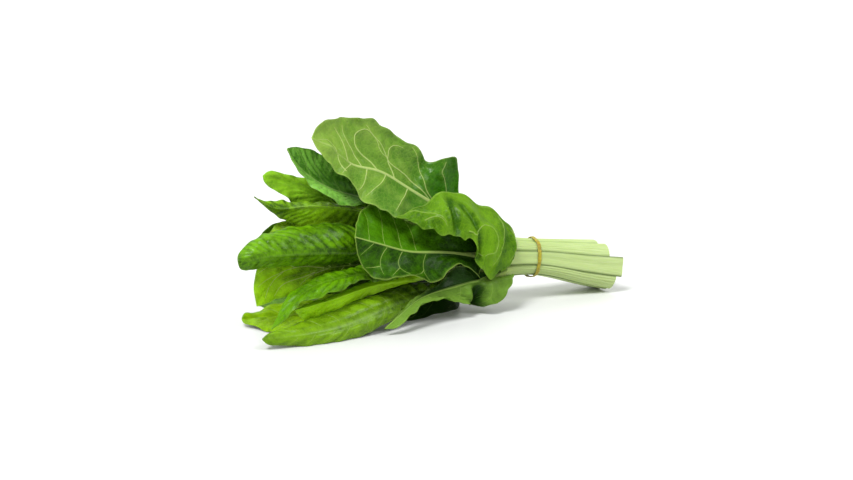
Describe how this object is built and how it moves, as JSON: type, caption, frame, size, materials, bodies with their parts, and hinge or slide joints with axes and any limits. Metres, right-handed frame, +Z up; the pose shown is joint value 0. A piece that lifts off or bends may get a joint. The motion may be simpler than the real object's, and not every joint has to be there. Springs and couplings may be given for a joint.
{
  "type": "swiss chard",
  "caption": "Tied bunch of leafy greens lying on its side: waved, veined blades on pale ribbed stalks, held together by a rubber band.",
  "frame": {"origin": "middle of the bunch's bounding box in plan, on the surface that it lies on", "axes": "+X runs from the blades to the cut ends of the stalks, -Y is the side that the picture shows, +Z is up"},
  "size_m": [0.3535, 0.1368, 0.1691],
  "materials": {
    "leaf": "semi-gloss leaf skin",
    "band": "matt"
  },
  "bodies": {
    "root": {"leaf_crown": "leaf", "leaf_saddle": "leaf", "leaf_cupped": "leaf", "leaf_ruffled": "leaf", "leaf_front_low": "leaf", "leaf_folded": "leaf", "leaf_rolled": "leaf", "leaf_low_tip": "leaf", "leaf_broad": "leaf", "leaf_blistered": "leaf", "leaf_twisted": "leaf", "leaf_bright": "leaf", "leaf_blue_green": "leaf", "leaf_back_low": "leaf", "leaf_back_middle": "leaf", "leaf_back_top": "leaf", "rubber_band": "band"}
  },
  "joints": []
}
